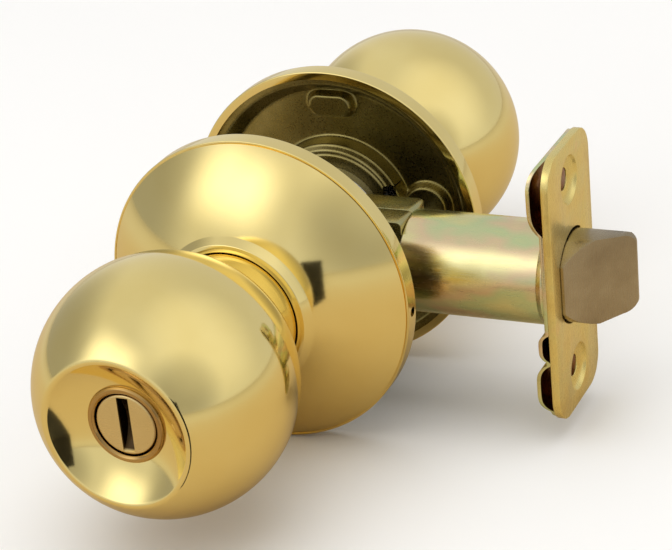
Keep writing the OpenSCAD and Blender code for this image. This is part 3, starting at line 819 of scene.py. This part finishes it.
# Each corrugation's centre along the strip, half width and depth
WAVES = ((20.8, 7.3, 2.3), (-20.0, 5.4, 2.3), (-10.9, 3.0, 1.5))


def wave_depth(z):
    depth = 0.0
    for centre, half, size in WAVES:
        d = abs(z - centre) / half
        if d < 1:
            depth = max(depth, size * (1 - d ** 4))
    return depth


def backplate():
    """Corrugated strip behind the faceplate, open at its two long sides."""
    half_h, half_w, sheet, steps = PLATE_H / 2 - 0.4, PLATE_W / 2 - 0.2, 0.8, 220
    heights = [-half_h + 2 * half_h * i / steps for i in range(steps + 1)]
    front_side = [(PLATE_X - 0.02 - wave_depth(z), z) for z in heights]
    rear_side = [(PLATE_X - sheet - wave_depth(z), z) for z in reversed(heights)]
    strip = prism("backplate_steel", front_side + rear_side, -half_w, half_w, rear, 60)
    outline = rounded_outline(2 * half_w, 2 * half_h, 5.8)
    keep = prism("keep", outline, BACK_X - 5, PLATE_X + 1, latch)
    combine(strip, [keep], "INTERSECT")
    behind, hole_r, seat_r = BACK_X - 6, 2.6, BARREL_R + 1.0
    cutters = [prism("opening", d_outline(0.5), behind, PLATE_X + 1, latch),
               cylinder("seat", latch, 0, 0, behind, BACK_X, seat_r, 96)]
    cutters += [cylinder("hole", latch, 0, s * HOLE_Z, behind, PLATE_X + 1, hole_r) for s in (-1, 1)]
    return soften(combine(strip, cutters, "DIFFERENCE"), 0.12, 2, 50)


def latch_bolt():
    """D-section bolt with one long bevel, a bore for its spring and grooves for the retractor's arms."""
    bolt = prism("latch_bolt_zinc", d_outline(0.0, 64), BOLT_REAR_X, BOLT_TIP_X, latch)
    bevel_x, tip_y = BACKSET + 0.6, BOLT_BACK - 0.8
    bm = bmesh.new()
    bm.from_mesh(bolt.data)
    run, rise = BOLT_TIP_X - bevel_x, tip_y - BOLT_FRONT
    everything = bm.verts[:] + bm.edges[:] + bm.faces[:]
    cut = bmesh.ops.bisect_plane(bm, geom=everything, dist=1e-7, clear_outer=True,
                                 plane_co=Vector((bevel_x, BOLT_FRONT, 0)) * MM,
                                 plane_no=Vector((rise, -run, 0)))
    edges = [g for g in cut["geom_cut"] if isinstance(g, bmesh.types.BMEdge)]
    bmesh.ops.contextual_create(bm, geom=edges)
    bm.to_mesh(bolt.data)
    bm.free()

    corner_r, root_x, shoulder_x = 2.4, BOLT_REAR_X - 5, BACKSET + 3
    half = BOLT_R + 0.2
    corner_x, corner_z = BOLT_TIP_X - corner_r, half - corner_r - 1.2
    side_view = [(root_x, -half), (shoulder_x, -half)]
    side_view += arc(corner_x, -corner_z, corner_r, -90, 0, 14)
    side_view += arc(corner_x, corner_z, corner_r, 0, 90, 14)
    side_view += [(shoulder_x, half), (root_x, half)]
    combine(bolt, [prism("tip_round", side_view, BOLT_FRONT - 1, BOLT_BACK + 1, rear)], "INTERSECT")

    behind, bore_end, bore_r = BOLT_REAR_X - 1, BACKSET + 1.7, 3.1
    groove_end, near, far, half_y = BACKSET - 0.3, 4.7, 15, 3.4
    cutters = [cylinder("spring_bore", latch, 0, 0, behind, bore_end, bore_r, 64),
               block("top_groove", latch, (-half_y, near, behind), (half_y, far, groove_end)),
               block("low_groove", latch, (-half_y, -far, behind), (half_y, -near, groove_end))]
    combine(bolt, cutters, "DIFFERENCE")
    return soften(bolt, 0.4, 5, 30)


def case_outline(inset):
    """Side view of the latch case, with its two rear corners cut off."""
    rear_x, front_x, h = -14.0 + inset, CASE_FRONT_X - inset, 11.0 - inset
    slope_z, slope_x = 6.5 - inset * 0.4, -10.5 + inset * 0.6
    return [(rear_x, -slope_z), (rear_x, slope_z), (slope_x, h), (front_x, h), (front_x, -h), (slope_x, -h)]


def case_half(name, place):
    """Half of the latch case, drawn from sheet with rounded corners."""
    half_t, sheet, gap, hub_hole_r, post_hole_r = 6.4, 0.8, 0.05, 6.3, 3.2
    wall_in, wall_out = half_t - 2, half_t + 1
    shell = prism(name, filleted(case_outline(0), 1.1), gap, half_t, place, 40)
    hollow = prism("hollow", filleted(case_outline(sheet), 0.7), -1, half_t - sheet, place)
    cutters = [hollow, cylinder("hub_hole", place, 0, 0, wall_in, wall_out, hub_hole_r),
               cylinder("post_hole", place, SCREW_X, 0, wall_in, wall_out, post_hole_r),
               block("front_opening", place, (24.2, -8.7, -1), (27.2, 8.7, 5.4)),
               block("top_notch", place, (6, 9.5, -1), (9.2, 12.5, 2.6)),
               block("low_notch", place, (14, -12, -1), (17.2, -9.5, 2.6))]
    combine(shell, cutters, "DIFFERENCE")
    return soften(shell, 0.2, 3, 40)


def posts():
    """Two tubes that the screws go into, each with a flange on the front mounting plate."""
    low, top = -7.4, PLATE_FLOOR_Z + 1.8
    bore_r, post_r, flange_r, flange_z = 2.1, 2.8, 3.8, top - 0.8
    section = filleted([(bore_r, low), (post_r, low), (post_r, flange_z), (flange_r, flange_z),
                        (flange_r, top), (bore_r, top)], 0.18)
    parts = [lathe("post", section, moved(front, x), segments=64) for x in SCREWS_X]
    return join("mounting_posts_steel", parts)


def screws():
    """Two screws with low domed heads and a square recess."""
    tip_z, screw_r, half = -3, 2.08, 2.2
    z = HEAD_SEAT
    outline = [(AXIS_R, tip_z), (screw_r, tip_z), (screw_r, z), (3.9, z), (3.9, z + 0.9), (3.6, z + 1.4),
               (2.6, z + 1.85), (1.2, z + 1.98), (AXIS_R, z + 2.0)]
    parts = []
    for x in SCREWS_X:
        place = moved(rear, x)
        screw = lathe("screw", filleted(outline, 0.2, closed=False), place, segments=64)
        recess = block("recess", place, (-half, -half, z + 0.8), (half, half, z + 3))
        parts.append(combine(screw, [recess], "DIFFERENCE"))
    return join("mounting_screws_steel", parts)


# ---------------------------------------------------------------- assembly

for side, place in (("front", front), ("rear", rear)):
    stand_for(knob_shell(side + "_knob_brass", place), side + "_knob", "knobs")
    stand_for(neck(side + "_neck_brass", place), side + "_neck", "knobs")
    stand_for(bezel(side + "_bezel_brass", place), side + "_bezel", "knobs", "tarnished_brass")
    stand_for(mounting_plate(side + "_mounting_plate_steel", place), side + "_mounting_plate", "trim")
    stand_for(hub(side + "_hub_steel", place), side + "_hub", "trim")
    stand_for(retaining_ring(side + "_retaining_ring_steel", place), side + "_retaining_ring", "knobs")

stand_for(slotted_button("front_button_brass", front), "front_button", "turn_bar", "brushed_brass")
stand_for(thumb_turn("rear_turn_button_brass", rear), "rear_turn_button", "turn_bar", "brushed_brass")
stand_for(front_rosette(), "front_rosette", "trim")
stand_for(rear_rosette(), "rear_rosette", "trim")
stand_for(barrel(), "latch_barrel", "trim")
stand_for(barrel_collar(), "barrel_collar", "trim")
stand_for(faceplate(), "faceplate", "trim")
# The back plate's look carries painted shade on its side towards the faceplate.
stand_for(backplate(), "backplate", "trim", "chromate_with_painted_shade")
# The latch case halves get the darker copy of the plating, painted shade.
stand_for(case_half("latch_case_front_steel", front), "latch_case_front", "trim", "chromate_in_painted_shade")
stand_for(case_half("latch_case_rear_steel", rear), "latch_case_rear", "trim", "chromate_in_painted_shade")
stand_for(latch_bolt(), "latch_bolt", "bolt")
stand_for(posts(), "mounting_posts", "trim")
stand_for(screws(), "mounting_screws", "trim")

# The pieces that are shown as the CAD made them get their looks too.
for node, obj in frame["nodes"].items():
    if not obj.hide_render:
        dress(obj, SLOT_OF[node])

# ---------------------------------------------------------------- studio

# Studio sizes are in metres.
FLOOR = -0.0331
FLOOR_HALF = 4.5


def plain(name, colour, rough):
    """Paper or card with a very slight change of tone."""
    s = Shader(name)
    tone = s.noise(7.0, EVEN, 2.0)
    low = tuple(c * 0.985 for c in colour)
    s.set("Base Color", s.ramp(tone, [(0.3, low), (0.7, colour)]))
    s.set("Roughness", rough)
    return s.material


def stage_quad(name, corners, material):
    """A flat card of the studio, not part of the object."""
    bm = bmesh.new()
    bm.faces.new([bm.verts.new(corner) for corner in corners])
    obj = add_mesh(name, bm)
    obj.data.materials.append(material)
    return obj


def ground(name, height, material):
    corners = [(x * FLOOR_HALF, y * FLOOR_HALF, height) for x, y in ((-1, -1), (1, -1), (1, 1), (-1, 1))]
    return stage_quad(name, corners, material)


def from_angles(azimuth, elevation, distance, centre=(0, 0, 0)):
    """A point seen from the centre; azimuth 0 is towards -Y and 90 towards +X, in degrees."""
    a, e = math.radians(azimuth), math.radians(elevation)
    direction = Vector((math.sin(a) * math.cos(e), -math.cos(a) * math.cos(e), math.sin(e)))
    return Vector(centre) + distance * direction


def reflected_only(obj):
    """Only reflections show the card: it hides nothing and casts no shadow."""
    obj.visible_camera = False
    obj.visible_diffuse = False
    obj.visible_shadow = False


def fill_light(name, azimuth, elevation, distance, size, power):
    """Lights the floor and the matt surfaces softly, and stays out of the brass's reflections."""
    data = bpy.data.lights.new(name, "AREA")
    data.size = size
    data.energy = power
    obj = add_object(name, data)
    spot = from_angles(azimuth, elevation, distance)
    obj.matrix_world = Matrix.Translation(spot) @ spot.to_track_quat("Z", "Y").to_matrix().to_4x4()
    obj.visible_glossy = False


def studio_world(tent, box, lobes):
    """A white tent with one large soft-edged light box, and broad lighter or darker lobes in it."""
    world = bpy.data.worlds.new("studio")
    bpy.context.scene.world = world
    world.use_nodes = True
    sky = Nodes(world.node_tree, "Generated")
    level = tent
    for azimuth, elevation, inner, outer, amount in lobes:
        facing = sky.along(from_angles(azimuth, elevation, 1.0))
        lobe = sky.ease(facing, math.cos(math.radians(outer)), math.cos(math.radians(inner)))
        level = sky.calc("ADD", sky.calc("MULTIPLY", lobe, amount), level)
    azimuth, elevation, half_width, half_height, edge, amount = box
    centre = from_angles(azimuth, elevation, 1.0)
    side = Vector((0, 0, 1)).cross(centre).normalized()
    lift = centre.cross(side)
    mask = sky.ease(sky.along(centre), 0.0, 0.2)
    for axis, half in ((side, half_width), (lift, half_height)):
        reach = sky.calc("ABSOLUTE", sky.along(axis))
        mask = sky.calc("MULTIPLY", mask, sky.ease(reach, half + edge, half - edge))
    level = sky.calc("ADD", sky.calc("MULTIPLY", mask, amount), level)
    background = world.node_tree.nodes["Background"]
    background.inputs["Color"].default_value = (1.0, 0.995, 0.98, 1)
    sky.link(level, background.inputs["Strength"])


ground("floor", FLOOR, plain("floor_white", (0.935, 0.93, 0.925), 0.7))

# Azimuth, elevation, half width, half height and edge as sines, and brightness over the tent
LIGHT_BOX = (-32, 37, 0.33, 0.25, 0.22, 0.95)
# Azimuth, elevation, inner and outer angle, and brightness over or under the tent
LOBES = ((85, 50, 10, 55, 0.20), (45, 18, 8, 38, -0.30), (-95, 5, 15, 50, -0.34), (160, 20, 10, 60, -0.10))
studio_world(0.72, LIGHT_BOX, LOBES)
fill_light("overhead", -20, 80, 1.2, 1.3, 7.2)

# Two black cards, one lying on the floor and one standing at its far edge, give the polished brass dark
# reflections. They are placed by azimuth and distance from the rim of the front knob's recess.
RECESS = (0, -RIM_Z * MM, 0)
FLAG_LEFT, FLAG_RIGHT, FLAG_NEAR, FLAG_FAR, FLAG_TOP = 25, 42, 0.020, 0.115, 0.028
FLAG_LIFT, SHEET_LIFT = 0.0006, 0.0003


def flag(name, corners, material):
    """A card from corners given as azimuth, distance and height."""
    placed = []
    for azimuth, distance, height in corners:
        corner = from_angles(azimuth, 0, distance, RECESS)
        placed.append((corner.x, corner.y, height))
    reflected_only(stage_quad(name, placed, material))


black = plain("card_black", (0.012, 0.011, 0.010), 0.8)
lying = FLOOR + FLAG_LIFT
flag("low_flag", [(FLAG_LEFT, FLAG_NEAR, lying), (FLAG_RIGHT, FLAG_NEAR, lying),
                  (FLAG_RIGHT, FLAG_FAR, lying), (FLAG_LEFT, FLAG_FAR, lying)], black)
flag("high_flag", [(FLAG_LEFT, FLAG_FAR, FLOOR), (FLAG_RIGHT, FLAG_FAR, FLOOR),
                   (FLAG_RIGHT, FLAG_FAR, FLAG_TOP), (FLAG_LEFT, FLAG_FAR, FLAG_TOP)], black)

# A tan sheet over the floor, seen only in reflections, so that the undersides are warm and deep; near the
# object it is darker and warmer, painted shade with a painted warm glow from the brass, and it pales away
# from the object.
sheet = Shader("sheet_tan")
reach = sheet.node("ShaderNodeVectorMath", operation="LENGTH")
sheet.link(sheet.coords, reach.inputs[0])
painted_shade_fade = sheet.ease(reach.outputs["Value"], 0.07, 0.42)
sheet.set("Base Color", sheet.ramp(painted_shade_fade, [(0.0, (0.57, 0.455, 0.295)), (1.0, (0.61, 0.565, 0.475))]))
sheet.set("Roughness", 0.8)
reflected_only(ground("tan_sheet", FLOOR + SHEET_LIFT, sheet.material))
bpy.context.scene.view_settings.view_transform = "Standard"

# ---------------------------------------------------------------- camera

# Angles in degrees, distances in metres and the focal length in millimetres
AZIMUTH, ELEVATION, ROLL = 25.99, 24.95, -5.90
DISTANCE, ACROSS, RISE = 0.4758, 0.00735, -0.00562
FOCAL = 120.85

back = from_angles(AZIMUTH, ELEVATION, 1.0)
level = from_angles(AZIMUTH + 90, 0, 1.0)
lift = back.cross(level)
tilt = math.radians(ROLL)
right = math.cos(tilt) * level + math.sin(tilt) * lift
up = math.cos(tilt) * lift - math.sin(tilt) * level
camera_data = bpy.data.cameras.new("camera")
camera_data.sensor_width = 36.0
camera_data.lens = FOCAL
camera_data.clip_start = 0.01
camera = add_object("camera", camera_data)
turn = Matrix((right, up, back)).transposed().to_4x4()
camera.matrix_world = Matrix.Translation(back * DISTANCE + right * ACROSS + up * RISE) @ turn
bpy.context.scene.camera = camera
